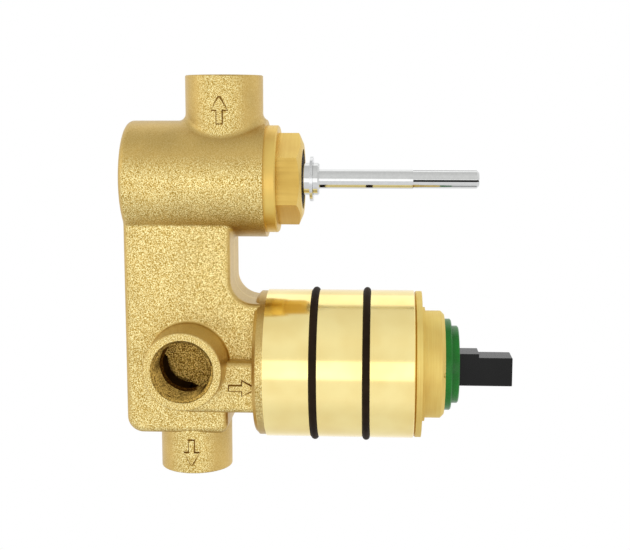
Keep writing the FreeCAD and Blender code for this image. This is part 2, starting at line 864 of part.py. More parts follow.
def lever_stem():
    blocks = [
        box(
            "stem_front_block",
            ("stem_step_x", "-stem_half", "cartridge_z - stem_bottom"),
            ("stem_front_x", "stem_half", "cartridge_z + stem_front_top"),
        ),
        box(
            "stem_back_block",
            ("stem_block_x", "-stem_half", "cartridge_z - stem_bottom"),
            ("stem_step_x", "stem_half", "cartridge_z + stem_back_top"),
        ),
        box(
            "stem_hub_block",
            ("stem_hub_x", "-stem_half", "cartridge_z - stem_hub"),
            ("stem_block_x", "stem_half", "cartridge_z + stem_hub"),
        ),
        cylinder("stem_tail", "tail_half", "stem_hub_x - ball_x", "ball_x", z="cartridge_z", along=X_AXIS),
    ]
    ball = doc.addObject("Part::Sphere", "stem_ball")
    bind(ball, Radius="ball_radius")
    blocks.append(place(ball, "ball_x", z="cartridge_z"))
    hole = cylinder(
        "stem_pin_hole", "pivot_radius + slide_clear", "stem_width",
        "pivot_x", "-stem_half", "cartridge_z", Y_AXIS,
    )
    solid = cut("stem_drilled", fused("stem_blocks", blocks), hole)
    front = number("stem_front_x")

    def nose(edge):
        return all(abs(v.X - front) < NEAR for v in edge.Vertexes)

    node("lever_stem", rounded("stem_eased", solid, "stem_edge", nose))


def diverter_bonnet():
    ring_half = "(bonnet_ring_section / 2 + fit_clear)"
    ring_floor = "bonnet_thread_radius - bonnet_ring_section"
    turning = turned(
        "bonnet_turning",
        "diverter_z",
        [
            ("bonnet_back", "0"),
            ("bonnet_hex_back", "0"),
            ("bonnet_hex_back", "bonnet_flange_radius - bonnet_edge"),
            ("bonnet_hex_back - bonnet_edge", "bonnet_flange_radius"),
            ("barrel_front", "bonnet_flange_radius"),
            ("barrel_front", "bonnet_thread_radius"),
            (f"bonnet_ring_x + {ring_half}", "bonnet_thread_radius"),
            (f"bonnet_ring_x + {ring_half}", ring_floor),
            (f"bonnet_ring_x - {ring_half}", ring_floor),
            (f"bonnet_ring_x - {ring_half}", "bonnet_thread_radius"),
            ("bonnet_back", "bonnet_thread_radius"),
        ],
    )
    prism = doc.addObject("Part::Prism", "bonnet_hex")
    prism.Polygon = HEX_SIDES
    bind(prism, Circumradius="hex_flats / sqrt(3)", Height="hex_length")
    place(prism, "bonnet_hex_back", z="diverter_z", along=X_AXIS)
    bevel = turned(
        "bonnet_bevel",
        "diverter_z",
        [
            ("bonnet_hex_back", "0"),
            ("bonnet_front", "0"),
            ("bonnet_front", "hex_bevel_radius"),
            ("bonnet_front - hex_bevel", "hex_flats / sqrt(3) + fit_clear"),
            ("bonnet_hex_back", "hex_flats / sqrt(3) + fit_clear"),
        ],
    )
    bevelled = doc.addObject("Part::Common", "bonnet_hex_bevelled")
    bevelled.Base = prism
    bevelled.Tool = bevel
    bore = turned(
        "bonnet_bore",
        "diverter_z",
        [
            ("bonnet_back", "0"),
            ("bonnet_front", "0"),
            ("bonnet_front", "recess_radius"),
            ("recess_back", "recess_radius"),
            ("recess_back", "sleeve_radius + fit_clear"),
            ("gland_back", "sleeve_radius + fit_clear"),
            ("gland_back", "spring_pocket"),
            ("bonnet_back", "spring_pocket"),
        ],
    )
    node("diverter_bonnet", cut("bonnet_bored", fused("bonnet_solid", [turning, bevelled]), bore))
    middle = "bonnet_thread_radius - bonnet_ring_section / 2"
    node("bonnet_o_ring", ring("bonnet_ring", middle, "bonnet_ring_section", "bonnet_ring_x", "diverter_z"))


def gland():
    outer_half = "(gland_ring_section / 2 + fit_clear)"
    outer_floor = "sleeve_radius - gland_ring_section"
    inner_half = "(rod_ring_section / 2 + fit_clear)"
    inner_floor = "sleeve_bore + rod_ring_section"
    sleeve = turned(
        "sleeve_turning",
        "diverter_z",
        [
            ("sleeve_back", "sleeve_bore"),
            (f"rod_ring_x - {inner_half}", "sleeve_bore"),
            (f"rod_ring_x - {inner_half}", inner_floor),
            (f"rod_ring_x + {inner_half}", inner_floor),
            (f"rod_ring_x + {inner_half}", "sleeve_bore"),
            (f"rod_ring_x + rod_ring_spacing - {inner_half}", "sleeve_bore"),
            (f"rod_ring_x + rod_ring_spacing - {inner_half}", inner_floor),
            (f"rod_ring_x + rod_ring_spacing + {inner_half}", inner_floor),
            (f"rod_ring_x + rod_ring_spacing + {inner_half}", "sleeve_bore"),
            ("sleeve_front", "sleeve_bore"),
            ("sleeve_front", "sleeve_radius - sleeve_edge"),
            ("sleeve_front - sleeve_edge", "sleeve_radius"),
            ("clip_front", "sleeve_radius"),
            ("clip_front", "clip_seat"),
            ("clip_back", "clip_seat"),
            ("clip_back", "sleeve_radius"),
            (f"gland_ring_x + {outer_half}", "sleeve_radius"),
            (f"gland_ring_x + {outer_half}", outer_floor),
            (f"gland_ring_x - {outer_half}", outer_floor),
            (f"gland_ring_x - {outer_half}", "sleeve_radius"),
            ("gland_back", "sleeve_radius"),
            ("gland_back", "sleeve_flange_radius"),
            ("sleeve_back", "sleeve_flange_radius"),
        ],
    )
    node("gland_sleeve", sleeve)
    outer_middle = "sleeve_radius - gland_ring_section / 2 + fit_clear"
    node("gland_o_ring", ring("gland_ring", outer_middle, "gland_ring_section", "gland_ring_x", "diverter_z"))
    inner_middle = "sleeve_bore + rod_ring_section / 2"
    for end, step in (("back", "0"), ("front", "rod_ring_spacing")):
        seat = f"rod_ring_x + {step}"
        torus = ring(f"rod_ring_{end}", inner_middle, "rod_ring_section", seat, "diverter_z")
        node(f"rod_o_ring_{end}", torus)
    seal = turned(
        "dust_seal_turning",
        "diverter_z",
        [
            ("recess_back", "sleeve_radius + fit_clear"),
            ("recess_back + dust_seal_thick + dust_seal_lip", "sleeve_radius + fit_clear"),
            ("recess_back + dust_seal_thick + dust_seal_lip", "sleeve_radius + dust_seal_thick"),
            ("recess_back + dust_seal_thick", "sleeve_radius + dust_seal_thick + dust_seal_lip"),
            ("recess_back + dust_seal_thick", "recess_radius - fit_clear"),
            ("recess_back", "recess_radius - fit_clear"),
        ],
    )
    node("dust_seal", seal)


# An open clip: a band with three lugs that reach the floor of the sleeve's groove.
def spindle_clip():
    def disc(name, radius):
        return cylinder(name, radius, "clip_thick", "clip_back", z="diverter_z", along=X_AXIS)

    hole = disc("clip_hole", "clip_radius - clip_band")
    band = cut("clip_band_ring", disc("clip_disc", "clip_radius"), hole)
    reach = "clip_radius - clip_band / 2"
    bars = [
        box(
            "clip_upright_lugs",
            ("clip_back", "-clip_lug / 2", f"diverter_z - ({reach})"),
            ("clip_front", "clip_lug / 2", f"diverter_z + {reach}"),
        ),
        box(
            "clip_side_lug",
            ("clip_back", f"-({reach})", "diverter_z - clip_lug / 2"),
            ("clip_front", "0", "diverter_z + clip_lug / 2"),
        ),
    ]
    mouth = box(
        "clip_opening",
        ("clip_back", "0", "diverter_z - clip_mouth / 2"),
        ("clip_front", "clip_radius", "diverter_z + clip_mouth / 2"),
    )
    tools = fused("clip_cuts", [mouth, disc("clip_seat_hole", "clip_seat + fit_clear")])
    node("spindle_clip", cut("clip_open", fused("clip_solid", [band] + bars), tools))


# Both seats are rims of one cage; water enters its waist from below and leaves past the open seat.
def diverter_cage():
    half = "(cage_ring_section / 2 + fit_clear)"
    floor = "cage_radius - cage_ring_section"
    back_ring = "cage_back + cage_wall / 2"
    front_ring = "cage_front - cage_wall / 2"
    waist = "cage_radius - cage_waist"
    cage = turned(
        "cage_turning",
        "diverter_z",
        [
            ("cage_back", "cage_bore"),
            ("cage_front", "cage_bore"),
            ("cage_front", "cage_radius"),
            (f"{front_ring} + {half}", "cage_radius"),
            (f"{front_ring} + {half}", floor),
            (f"{front_ring} - {half}", floor),
            (f"{front_ring} - {half}", "cage_radius"),
            ("cage_front - cage_wall", "cage_radius"),
            ("cage_front - cage_wall", waist),
            ("cage_back + cage_wall", waist),
            ("cage_back + cage_wall", "cage_radius"),
            (f"{back_ring} + {half}", "cage_radius"),
            (f"{back_ring} + {half}", floor),
            (f"{back_ring} - {half}", floor),
            (f"{back_ring} - {half}", "cage_radius"),
            ("cage_back", "cage_radius"),
        ],
    )
    windows = [
        cylinder(
            "cage_window_upright", "cage_window_radius", "cage_radius * 2",
            "riser_x", z="diverter_z - cage_radius",
        ),
        cylinder(
            "cage_window_level", "cage_window_radius", "cage_radius * 2",
            "riser_x", "-cage_radius", "diverter_z", Y_AXIS,
        ),
    ]
    node("diverter_cage", cut("cage_drilled", cage, fused("cage_windows", windows)))
    middle = "cage_radius - cage_ring_section / 2 + fit_clear"
    for end, seat in (("back", back_ring), ("front", front_ring)):
        node(f"cage_o_ring_{end}", ring(f"cage_ring_{end}", middle, "cage_ring_section", seat, "diverter_z"))


def diverter_spindle():
    rod = turned(
        "spindle_turning",
        "diverter_z",
        [
            ("stud_back", "0"),
            ("rod_front", "0"),
            ("rod_front", "knob_seat_radius - rod_edge"),
            ("rod_front - rod_edge", "knob_seat_radius"),
            ("knob_seat_back", "knob_seat_radius"),
            ("knob_seat_back", "rod_radius"),
            ("disc_front", "rod_radius"),
            ("disc_front", "washer_radius"),
            ("disc_back", "washer_radius"),
            ("disc_back", "rod_radius"),
            ("spout_washer_front", "rod_radius"),
            ("spout_washer_front", "stud_radius"),
            ("stud_back", "stud_radius"),
        ],
    )
    slots = [
        box(
            f"spindle_slot_{name}",
            ("knob_seat_back", f"-({half_width})", f"-({half_height})"),
            ("rod_front", half_width, half_height),
        )
        for name, half_width, half_height in (
            ("upright", "slot_width / 2", "rod_radius"),
            ("level", "rod_radius", "slot_width / 2"),
        )
    ]
    # Assigning the rotation sets its axis; the angle itself stays bound.
    cross = place(fused("spindle_slots", slots), z="diverter_z")
    cross.Placement.Rotation = FreeCAD.Rotation(X_AXIS, number("slot_roll"))
    bind(cross, Placement__Rotation__Angle="slot_roll")
    node("diverter_spindle", cut("spindle_split", rod, cross))


def spindle_washers():
    def washer(label, back, front, carrier_radius):
        corners = flange_ring(back, front, "washer_radius", carrier_radius + " + fit_clear")
        node(label, turned(label + "_turning", "diverter_z", corners))

    washer("shower_washer", "shower_washer_back", "disc_back", "rod_radius")
    washer("spout_washer", "spout_washer_back", "spout_washer_front", "stud_radius")
    washer("washer_plate", "washer_plate_back", "spout_washer_back", "stud_radius")
    prism = doc.addObject("Part::Prism", "washer_nut_hex")
    prism.Polygon = HEX_SIDES
    bind(prism, Circumradius="washer_nut_flats / sqrt(3)", Height="washer_plate_back - stud_back")
    place(prism, "stud_back", z="diverter_z", along=X_AXIS)
    hole = cylinder(
        "washer_nut_hole", "stud_radius + fit_clear", "washer_plate_back - stud_back",
        "stud_back", z="diverter_z", along=X_AXIS,
    )
    node("washer_nut", cut("washer_nut_tapped", prism, hole))


def return_spring():
    coil = doc.addObject("Part::Helix", "spring_path")
    length = "sleeve_back - disc_front - spring_wire - fit_clear * 2"
    bind(coil, Radius="spring_radius", Height=length, Pitch=f"({length}) / spring_turns")
    wire = doc.addObject("Part::Circle", "spring_section")
    bind(wire, Radius="spring_wire / 2")
    wire.Placement = FreeCAD.Placement(FreeCAD.Vector(), FreeCAD.Rotation(X_AXIS, QUARTER_TURN))
    bind(wire, Placement__Base__x="spring_radius")
    spring = doc.addObject("Part::Sweep", "spring_sweep")
    spring.Sections = [wire]
    spring.Spine = (coil, ["Edge1"])
    spring.Solid = True
    spring.Frenet = True
    place(spring, "disc_front + spring_wire / 2 + fit_clear", z="diverter_z", along=X_AXIS)
    node("return_spring", spring)


def check_and_write():
    doc.recompute()
    for thing in doc.Objects:
        if {"Invalid", "Error"} & set(thing.State):
            raise RuntimeError(f"{thing.Label} did not build: {thing.State}")
    for label, thing in nodes.items():
        if thing.Shape.isNull() or not thing.Shape.isValid():
            raise RuntimeError(f"{label} has no valid shape")
    os.makedirs("parts", exist_ok=True)
    for label, thing in nodes.items():
        thing.Shape.exportStep(f"parts/{label}.step")
        print(f"{label}: {len(thing.Shape.Solids)} solid, {thing.Shape.Volume:.1f} mm3")


valve_body()
cartridge_nut()
cartridge_base()
ceramic_discs()
cartridge_shell()
lever_rotor()
lever_stem()
diverter_bonnet()
gland()
spindle_clip()
diverter_cage()
diverter_spindle()
spindle_washers()
return_spring()
check_and_write()
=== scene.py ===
import json
import math
import bmesh
import bpy
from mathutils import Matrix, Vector


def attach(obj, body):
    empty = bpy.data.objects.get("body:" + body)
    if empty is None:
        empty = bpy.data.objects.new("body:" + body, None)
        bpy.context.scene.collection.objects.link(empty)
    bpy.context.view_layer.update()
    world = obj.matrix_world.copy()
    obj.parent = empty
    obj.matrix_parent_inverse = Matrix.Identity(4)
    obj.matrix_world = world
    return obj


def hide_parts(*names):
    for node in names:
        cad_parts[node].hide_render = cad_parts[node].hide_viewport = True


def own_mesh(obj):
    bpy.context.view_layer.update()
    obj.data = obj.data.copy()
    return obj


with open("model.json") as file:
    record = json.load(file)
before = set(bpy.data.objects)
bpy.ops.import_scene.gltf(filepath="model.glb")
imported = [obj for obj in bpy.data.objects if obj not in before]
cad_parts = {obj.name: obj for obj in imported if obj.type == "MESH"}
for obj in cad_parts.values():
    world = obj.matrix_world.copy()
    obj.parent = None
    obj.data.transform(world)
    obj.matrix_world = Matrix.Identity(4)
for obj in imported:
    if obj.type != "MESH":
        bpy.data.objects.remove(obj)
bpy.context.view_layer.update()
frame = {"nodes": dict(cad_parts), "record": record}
nodes = frame["nodes"]
mm = 0.001
print("frame loaded:", len(nodes), "nodes")


# sRGB hex to the linear colour that shaders take
def hexColour(code):
    channels = [int(code[i:i + 2], 16) / 255 for i in (0, 2, 4)]
    linear = [c / 12.92 if c <= 0.04045 else ((c + 0.055) / 1.055) ** 2.4 for c in channels]
    return (*linear, 1.0)


# pattern frequency for a feature of this many millimetres
def perMetre(sizeMm):
    return 1 / (sizeMm * mm)


# one node with its settings; a socket value that is itself a socket becomes a link
def addNode(tree, kind, sockets=None, stops=None, **settings):
    node = tree.nodes.new("ShaderNode" + kind)
    for name, value in settings.items():
        setattr(node, name, value)
    for key, value in (sockets or {}).items():
        if isinstance(value, bpy.types.NodeSocket):
            tree.links.new(value, node.inputs[key])
        else:
            node.inputs[key].default_value = value
    for i, (place, code) in enumerate(stops or []):
        elements = node.color_ramp.elements
        stop = elements[i] if i < len(elements) else elements.new(place)
        stop.position = place
        stop.color = hexColour(code)
    return node


def newMaterial(name):
    material = bpy.data.materials.new(name)
    material.use_nodes = True
    tree = material.node_tree
    return material, tree, tree.nodes["Principled BSDF"]


# Camera: the photo's own view, 8 degrees down on the hot inlet's side
cameraPlace = {
    "spot": (64.66, -395.16, 126.01),
    "yaw": 3.32,
    "pitch": 8.37,
    "focalPixels": 1160.92,
    "imageWidth": 630,
    "sensor": 36.0,
    "nearestMm": 10.0,
}


def addCamera(spec):
    lens = bpy.data.cameras.new("photoLens")
    lens.sensor_fit = "HORIZONTAL"
    lens.sensor_width = spec["sensor"]
    lens.lens = spec["sensor"] * spec["focalPixels"] / spec["imageWidth"]
    lens.clip_start = spec["nearestMm"] * mm
    camera = bpy.data.objects.new("photoCamera", lens)
    camera.location = Vector(spec["spot"]) * mm
    camera.rotation_euler = (math.radians(90 - spec["pitch"]), 0, math.radians(spec["yaw"]))
    bpy.context.scene.collection.objects.link(camera)
    bpy.context.scene.camera = camera


addCamera(cameraPlace)
bpy.context.scene.view_settings.view_transform = "Standard"
print("camera set")

# Studio: white cyclorama, bright low strip in front, soft overhead
studio = {
    "fill": 0.62,
    "floorDrop": 95.0,
    "floorReach": 6000.0,
    "floorWhite": "f2f2f0",
    "floorRoughness": 0.9,
    "floorCentre": 30.0,
    "nearGlow": 0.6,
    "nearReach": 60.0,
    "farReach": 150.0,
    # round the room, from the back wall under the floor, past the camera, and over the top
    "shades": [
        (0.0, "ffffff"), (0.25, "e0e0de"), (0.42, "f8f8f6"), (0.52, "f8f8f6"), (0.54, "f5f5f3"),
        (0.62, "f8f8f6"), (0.72, "ebebe9"), (0.81, "e6e6e4"), (0.825, "fbfbf9"), (1.0, "ffffff"),
    ],
}


def addWorld(spec):
    world = bpy.data.worlds.new("studioWorld")
    bpy.context.scene.world = world
    world.use_nodes = True
    tree = world.node_tree
    tree.nodes.clear()
    direction = addNode(tree, "TexCoord").outputs["Generated"]
    parts = addNode(tree, "SeparateXYZ", {"Vector": direction})
    ahead = addNode(tree, "Math", {0: parts.outputs["Y"], 1: -1.0}, operation="MULTIPLY")
    angle = addNode(tree, "Math", {0: parts.outputs["Z"], 1: ahead.outputs[0]}, operation="ARCTAN2")
    turn = addNode(tree, "MapRange", {
        "Value": angle.outputs[0], "From Min": -math.pi, "From Max": math.pi,
    })
    shades = addNode(tree, "ValToRGB", {"Fac": turn.outputs[0]}, stops=spec["shades"])
    rays = addNode(tree, "LightPath")
    mirrored = addNode(tree, "Math", {
        0: rays.outputs["Is Glossy Ray"], 1: rays.outputs["Is Transmission Ray"],
    }, operation="MAXIMUM")
    fill = addNode(tree, "Background", {"Color": hexColour("ffffff"), "Strength": spec["fill"]})
    room = addNode(tree, "Background", {"Color": shades.outputs["Color"], "Strength": 1.0})
    plain = addNode(tree, "Background", {"Color": hexColour("ffffff"), "Strength": 1.0})
    lit = addNode(tree, "MixShader", {0: mirrored.outputs[0], 1: fill.outputs[0], 2: room.outputs[0]})
    seen = addNode(tree, "MixShader", {
        0: rays.outputs["Is Camera Ray"], 1: lit.outputs[0], 2: plain.outputs[0],
    })
    addNode(tree, "OutputWorld", {"Surface": seen.outputs[0]})


def addFloor(spec):
    reach = spec["floorReach"] * mm
    mesh = bpy.data.meshes.new("studioFloor")
    corners = [(-reach, -reach, 0), (reach, -reach, 0), (reach, reach, 0), (-reach, reach, 0)]
    mesh.from_pydata(corners, [], [(0, 1, 2, 3)])
    floor = bpy.data.objects.new("studioFloor", mesh)
    floor.location = (spec["floorCentre"] * mm, 0, -spec["floorDrop"] * mm)
    bpy.context.scene.collection.objects.link(floor)
    # matt emulsion: no shine of its own, only the part's shadow
    material, tree, paint = newMaterial("paleFloorPaint")
    paint.inputs["Base Color"].default_value = hexColour(spec["floorWhite"])
    paint.inputs["Roughness"].default_value = spec["floorRoughness"]
    rays = addNode(tree, "LightPath")
    mirrored = addNode(tree, "Math", {
        0: rays.outputs["Is Glossy Ray"], 1: rays.outputs["Is Transmission Ray"],
    }, operation="MAXIMUM")
    watched = addNode(tree, "Math", {
        0: rays.outputs["Is Camera Ray"], 1: mirrored.outputs[0],
    }, operation="MAXIMUM")
    place = addNode(tree, "TexCoord").outputs["Object"]
    away = addNode(tree, "VectorMath", {0: place}, operation="LENGTH")
    # the floor's glow fades towards the part, so a painted darker disc lies round its real shadow, and the
    # floor runs out to plain white
    white = addNode(tree, "MapRange", {
        "Value": away.outputs["Value"],
        "From Min": spec["nearReach"] * mm, "From Max": spec["farReach"] * mm,
        "To Min": spec["nearGlow"], "To Max": 1.0,
    })
    share = addNode(tree, "Math", {0: watched.outputs[0], 1: white.outputs[0]}, operation="MULTIPLY")
    glow = addNode(tree, "Emission", {"Color": hexColour("ffffff"), "Strength": 1.0})
    mixed = addNode(tree, "MixShader", {0: share.outputs[0], 1: paint.outputs[0], 2: glow.outputs[0]})
    tree.links.new(mixed.outputs[0], tree.nodes["Material Output"].inputs["Surface"])
    mesh.materials.append(material)


# each softbox: where it stands, what it faces, its width and height in millimetres, its watts
softboxes = {
    "frontStrip": {"spot": (40, -560, 42), "aim": (40, 0, 42), "size": (1100, 280), "watts": 0.61},
    "backTop": {"spot": (20, 585, 792), "aim": (20, 0, 60), "size": (1400, 530), "watts": 0.8},
    "leftSide": {"spot": (-800, -300, 350), "aim": (0, 0, 60), "size": (500, 800), "watts": 0.6},
}


def addSoftboxes(boxes):
    for name, spec in boxes.items():
        light = bpy.data.lights.new(name, "AREA")
        light.shape = "RECTANGLE"
        light.size, light.size_y = (side * mm for side in spec["size"])
        light.energy = spec["watts"]
        lamp = bpy.data.objects.new(name, light)
        lamp.location = Vector(spec["spot"]) * mm
        facing = (Vector(spec["aim"]) - Vector(spec["spot"])).to_track_quat("-Z", "Y")
        lamp.rotation_euler = facing.to_euler()
        bpy.context.scene.collection.objects.link(lamp)


addWorld(studio)
addFloor(studio)
addSoftboxes(softboxes)
print("studio lit")


# Sand-cast brass: the mould's sand leaves its grain, and the mould's joint a ground-back seam.
# Moulding sand is 0.2 to 0.3 mm, drawn a little coarser here so that it shows
castings = {
    # blasted after casting: pale glitter; smoother where the pattern slid out, and a flatter, deeper gold
    # painted as shade on faces that don't face along Y and on tops
    "sandCastBrass": {
        "grainMm": 0.32, "patchMm": 9.0, "depthMm": 0.15, "roughness": 0.38, "topUnderShade": 0.82,
        "dark": "9e7e30", "mid": "dcbd70", "bright": "fff4b8", "drawnShaded": "d2b168",
        "drawnFrom": 0.96, "drawnTo": 0.78, "drawnShadeShare": 0.8, "drawnRelief": 0.4,
        "seam": "e9d08c", "seamMm": 0.7, "seamFadeMm": 0.35, "seamShare": 0.7,
    },
    # the unblasted inside of the ports: the same grain, brown and dull, and painted shade on the port floors,
    # the shelves' fronts and the arrows' sides
    "dullWaterwayShadeBrass": {
        "grainMm": 0.42, "patchMm": 5.0, "depthMm": 0.2, "roughness": 0.5, "topUnderShade": 1.0,
        "dark": "5a3e10", "mid": "b58c3c", "bright": "f4d078", "drawnShaded": "8a6426",
        "drawnFrom": 0.95, "drawnTo": 0.55, "drawnShadeShare": 0.9, "drawnRelief": 0.6,
        "seam": "8d6a2c", "seamMm": 0.5, "seamFadeMm": 0.3, "seamShare": 0.3,
    },
    # dark brown that hardly shines: painted shade on the ports' walls, the waterways, the thread roots and
    # the shelves' sides
    "darkShadeBrass": {
        "grainMm": 0.5, "patchMm": 5.0, "depthMm": 0.2, "roughness": 0.6, "topUnderShade": 1.0,
        "dark": "3e2208", "mid": "683e10", "bright": "885e22", "drawnShaded": "5a370d",
        "drawnFrom": 0.95, "drawnTo": 0.55, "drawnShadeShare": 0.6, "drawnRelief": 0.6,
        "seam": "6a4a1c", "seamMm": 0.5, "seamFadeMm": 0.3, "seamShare": 0.3,
    },
}
# what all cast finishes share
castSkin = {
    "stops": (0.38, 0.5, 0.62),  # dark, mid and bright grain
    "shade": (0.93, 1.05),  # darkest and lightest patch
    "topShadeLean": -0.25,  # tops get more of the smoother, deeper gold than undersides: painted shade on tops
    "wanderMm": 2.0,  # how far the seam strays
    "seamGrains": 2.0,  # how far it stands out of the grain
    "level": (0.3, 0.9),  # the normal's Z, from full colour to the painted shade on tops and undersides
}


def sandCast(name, spec):
    material, tree, metal = newMaterial(name)
    place = addNode(tree, "TexCoord")
    grain = addNode(tree, "TexNoise", {
        "Vector": place.outputs["Object"], "Scale": perMetre(spec["grainMm"]),
        "Detail": 2.0, "Roughness": 0.6,
    })
    patch = addNode(tree, "TexNoise", {
        "Vector": place.outputs["Object"], "Scale": perMetre(spec["patchMm"]), "Detail": 3.0,
    })
    tones = (spec["dark"], spec["mid"], spec["bright"])
    tone = addNode(tree, "ValToRGB", {"Fac": grain.outputs["Fac"]}, stops=[*zip(castSkin["stops"], tones)])
    shade = addNode(tree, "MapRange", {
        "Value": patch.outputs["Fac"], "From Min": 0.3, "From Max": 0.7,
        "To Min": castSkin["shade"][0], "To Max": castSkin["shade"][1],
    })
    # faces that slid along the sand as the pattern was drawn came out smoother; faces that don't face along
    # Y, and tops, also get a flatter, deeper gold that is painted shade
    facing = addNode(tree, "SeparateXYZ", {"Vector": place.outputs["Normal"]})
    across = addNode(tree, "Math", {0: facing.outputs["Y"]}, operation="ABSOLUTE")
    frontFacing = addNode(tree, "Math", {
        0: facing.outputs["Z"], 1: castSkin["topShadeLean"], 2: across.outputs[0],
    }, operation="MULTIPLY_ADD")
    drawnShaded = addNode(tree, "MapRange", {
        "Value": frontFacing.outputs[0], "From Min": spec["drawnFrom"], "From Max": spec["drawnTo"],
        "To Min": 0.0, "To Max": spec["drawnShadeShare"],
    })
    relief = addNode(tree, "MapRange", {
        "Value": frontFacing.outputs[0], "From Min": spec["drawnFrom"], "From Max": spec["drawnTo"],
        "To Min": 1.0, "To Max": spec["drawnRelief"],
    })
    skin = addNode(tree, "MixRGB", {
        "Fac": drawnShaded.outputs[0], "Color1": tone.outputs["Color"], "Color2": hexColour(spec["drawnShaded"]),
    })
    # the mould opens at the middle plane, so the seam runs where Y is nought
    where = addNode(tree, "SeparateXYZ", {"Vector": place.outputs["Object"]})
    wander = addNode(tree, "Math", {0: patch.outputs["Fac"], 1: 0.5}, operation="SUBTRACT")
    middle = addNode(tree, "Math", {
        0: wander.outputs[0], 1: castSkin["wanderMm"] * mm, 2: where.outputs["Y"],
    }, operation="MULTIPLY_ADD")
    aside = addNode(tree, "Math", {0: middle.outputs[0]}, operation="ABSOLUTE")
    seam = addNode(tree, "MapRange", {
        "Value": aside.outputs[0],
        "From Min": spec["seamMm"] * mm, "From Max": (spec["seamMm"] - spec["seamFadeMm"]) * mm,
        "To Min": 0.0, "To Max": spec["seamShare"],
    })
    ground = addNode(tree, "MixRGB", {
        "Fac": seam.outputs[0], "Color1": skin.outputs[0], "Color2": hexColour(spec["seam"]),
    })
    # tops and undersides painted a little browner as shade
    level = addNode(tree, "Math", {0: facing.outputs["Z"]}, operation="ABSOLUTE")
    topUnderShade = addNode(tree, "MapRange", {
        "Value": level.outputs[0],
        "From Min": castSkin["level"][0], "From Max": castSkin["level"][1],
        "To Min": 1.0, "To Max": spec["topUnderShade"],
    })
    depth = addNode(tree, "Math", {0: shade.outputs[0], 1: topUnderShade.outputs[0]}, operation="MULTIPLY")
    colour = addNode(tree, "VectorMath", {0: ground.outputs[0], "Scale": depth.outputs[0]}, operation="SCALE")
    height = addNode(tree, "Math", {
        0: seam.outputs[0], 1: castSkin["seamGrains"], 2: grain.outputs["Fac"],
    }, operation="MULTIPLY_ADD")
    bump = addNode(tree, "Bump", {
        "Height": height.outputs[0], "Strength": relief.outputs[0], "Distance": spec["depthMm"] * mm,
    })
    tree.links.new(colour.outputs[0], metal.inputs["Base Color"])
    tree.links.new(bump.outputs["Normal"], metal.inputs["Normal"])
    metal.inputs["Metallic"].default_value = 1.0
    metal.inputs["Roughness"].default_value = spec["roughness"]
    return material


# Turned brass: fine tool rings round the axis; hexagon bar keeps the die's long streaks instead.
# Real rings and streaks are about 0.1 mm apart, drawn coarser here so that they show
turnings = {
    # turned and left: soft gold with a broad highlight
    "satinTurnedBrass": {
        "colour": "d4b160", "worn": "c8a453", "roughness": 0.38, "ringMm": 0.35, "depthMm": 0.004,
    },
    # fresh finishing cut: paler gold that spreads the light
    "brightTurnedBrass": {
        "colour": "e8c970", "worn": "deba66", "roughness": 0.42, "ringMm": 0.35, "depthMm": 0.004,
    },
    # quick coarse feed: pale and even, with no clear highlight
    "mattTurnedBrass": {
        "colour": "ecd684", "worn": "e2c674", "roughness": 0.62, "ringMm": 0.35, "depthMm": 0.004,
    },
    # hexagon bar as it was drawn: deeper gold with streaks along its length
    "drawnBarBrass": {
        "colour": "c8a85a", "worn": "b8964a", "roughness": 0.38, "streakMm": 0.35, "depthMm": 0.006,
    },
    # polished for the seals: pale gold and nearly a mirror
    "polishedBrass": {
        "colour": "fdeaa4", "worn": "f6de94", "roughness": 0.14, "ringMm": 0.6, "depthMm": 0.0008,
    },
    # cut with a tap: gold flecked with brown, where grit stays
    "cutThreadBrass": {
        "colour": "d6b05c", "worn": "644a18", "roughness": 0.36, "ringMm": 0.3, "depthMm": 0.004,
        "cloudMm": 0.5,
    },
}
# what all turned finishes share
turnSkin = {
    "stretch": 0.02,  # a ring's or streak's width over its length
    "cloudMm": 14.0,  # marks of handling
    "sheen": (0.8, 1.25),  # smoothest and roughest ring, as shares of the roughness
}


def turnedBrass(name, spec):
    material, tree, metal = newMaterial(name)
    place = addNode(tree, "TexCoord").outputs["Object"]
    long = turnSkin["stretch"]
    across = "streakMm" in spec
    along = addNode(tree, "Mapping", {
        "Vector": place, "Scale": (long, 1.0, 1.0) if across else (1.0, long, long),
    })
    rings = addNode(tree, "TexNoise", {
        "Vector": along.outputs[0], "Scale": perMetre(spec["streakMm" if across else "ringMm"]),
        "Detail": 3.0, "Roughness": 0.7,
    })
    cloud = addNode(tree, "TexNoise", {
        "Vector": place, "Scale": perMetre(spec.get("cloudMm", turnSkin["cloudMm"])), "Detail": 2.0,
    })
    tone = addNode(tree, "ValToRGB", {"Fac": cloud.outputs["Fac"]}, stops=[
        (0.3, spec["worn"]), (0.62, spec["colour"]),
    ])
    sheen = addNode(tree, "MapRange", {
        "Value": rings.outputs["Fac"], "From Min": 0.25, "From Max": 0.75,
        "To Min": spec["roughness"] * turnSkin["sheen"][0],
        "To Max": spec["roughness"] * turnSkin["sheen"][1],
    })
    bump = addNode(tree, "Bump", {
        "Height": rings.outputs["Fac"], "Strength": 1.0, "Distance": spec["depthMm"] * mm,
    })
    tree.links.new(tone.outputs["Color"], metal.inputs["Base Color"])
    tree.links.new(sheen.outputs[0], metal.inputs["Roughness"])
    tree.links.new(bump.outputs["Normal"], metal.inputs["Normal"])
    metal.inputs["Metallic"].default_value = 1.0
    return material


# Bright metals, with drawing or polishing marks that only the gloss shows
brightMetals = {
    # plated over polished brass: a clean cool mirror
    "chromePlate": {
        "low": "cccdcd", "high": "d4d5d5", "roughness": 0.05, "streakMm": 0.9, "sheen": (0.7, 1.4),
    },
    # drawn wire: a duller grey with fine marks
    "springSteel": {
        "low": "c6c7c8", "high": "d8d9da", "roughness": 0.18, "streakMm": 0.4, "sheen": (0.7, 1.4),
    },
}


